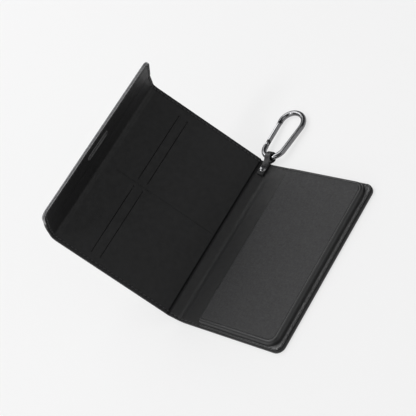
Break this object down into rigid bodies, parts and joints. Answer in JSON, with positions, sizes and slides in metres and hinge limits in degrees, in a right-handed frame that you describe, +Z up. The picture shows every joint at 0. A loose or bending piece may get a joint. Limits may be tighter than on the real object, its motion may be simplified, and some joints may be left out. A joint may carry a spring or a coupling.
{
  "type": "passport holder wallet",
  "caption": "Folding leather passport wallet with a moulded passport pocket, card slots, a magnetic fore-edge flap and a carabiner on a loop.",
  "frame": {"origin": "centre of the back cover's underside, the face the open wallet lies on", "axes": "+X from the spine to the back cover's fore-edge, +Y up the height towards the carabiner, +Z up out of the inside of the back cover"},
  "size_m": [0.1628, 0.19, 0.117],
  "materials": {
    "cover_leather": "fine matt grain, black",
    "lining_leather": "smooth matt, black",
    "pocket_face": "brushed cross grain, charcoal",
    "board": "raw grey board",
    "card_bag_cloth": "thin woven lining",
    "thread": "twisted black polyester",
    "gunmetal": "dark polished plating",
    "steel": "plain"
  },
  "bodies": {
    "back_cover": {"back_cover_skin": "cover_leather", "back_cover_board": "board", "magnet_keeper_plate": "steel", "back_cover_lining": "lining_leather", "passport_pocket_shell": "cover_leather", "passport_pocket_face": "pocket_face", "back_cover_seam": "thread"},
    "spine": {"spine_skin": "cover_leather", "spine_lining": "lining_leather", "carabiner_loop": "cover_leather", "loop_rivet": "gunmetal"},
    "front_cover": {"front_cover_skin": "cover_leather", "front_cover_board": "board", "card_bag_lower_rear": "card_bag_cloth", "card_bag_upper_rear": "card_bag_cloth", "card_bag_lower_front": "card_bag_cloth", "card_bag_upper_front": "card_bag_cloth", "card_panel": "lining_leather", "front_cover_seam_lower": "thread", "front_cover_seam_upper": "thread"},
    "fore_edge": {"fore_edge_skin": "cover_leather", "fore_edge_lining": "lining_leather"},
    "flap": {"flap_skin": "cover_leather", "flap_stiffener": "board", "flap_magnet": "steel", "flap_lining": "lining_leather", "flap_clasp_plate": "cover_leather", "flap_seam": "thread"},
    "carabiner": {"carabiner_body": "gunmetal", "gate_pivot_pin": "steel"},
    "gate": {"carabiner_gate": "gunmetal", "gate_spring": "steel"}
  },
  "joints": [
    {"name": "spine_fold", "type": "hinge", "parent": "back_cover", "child": "spine", "pos_m": [-0.04545, 0, 0.0016], "axis": [0, 1, 0], "range_deg": [-26, 64]},
    {"name": "cover_fold", "type": "hinge", "parent": "spine", "child": "front_cover", "pos_m": [-0.05624, 0, 0.00686], "axis": [0, 1, 0], "range_deg": [-26, 64]},
    {"name": "fore_edge_fold", "type": "hinge", "parent": "front_cover", "child": "fore_edge", "pos_m": [-0.11596, 0, 0.0833], "axis": [0, 1, 0], "range_deg": [-60, 52]},
    {"name": "flap_fold", "type": "hinge", "parent": "fore_edge", "child": "flap", "pos_m": [-0.10996, 0, 0.09813], "axis": [0, 1, 0], "range_deg": [-11, 57]},
    {"name": "carabiner_swing", "type": "hinge", "parent": "spine", "child": "carabiner", "pos_m": [-0.05254, 0.0743, 0.00516], "axis": [1, 0, 0], "range_deg": [-85, 90]},
    {"name": "gate_swing", "type": "hinge", "parent": "carabiner", "child": "gate", "pos_m": [-0.06237, 0.08552, 0.00434], "axis": [0.0054, -0.0677, -0.9977], "range_deg": [0, 23], "stiffness_Nm_per_rad": 0.03, "springref_deg": -17.19}
  ],
  "couplings": [
    {"joint": "cover_fold", "follows": "spine_fold", "ratio": 1}
  ]
}
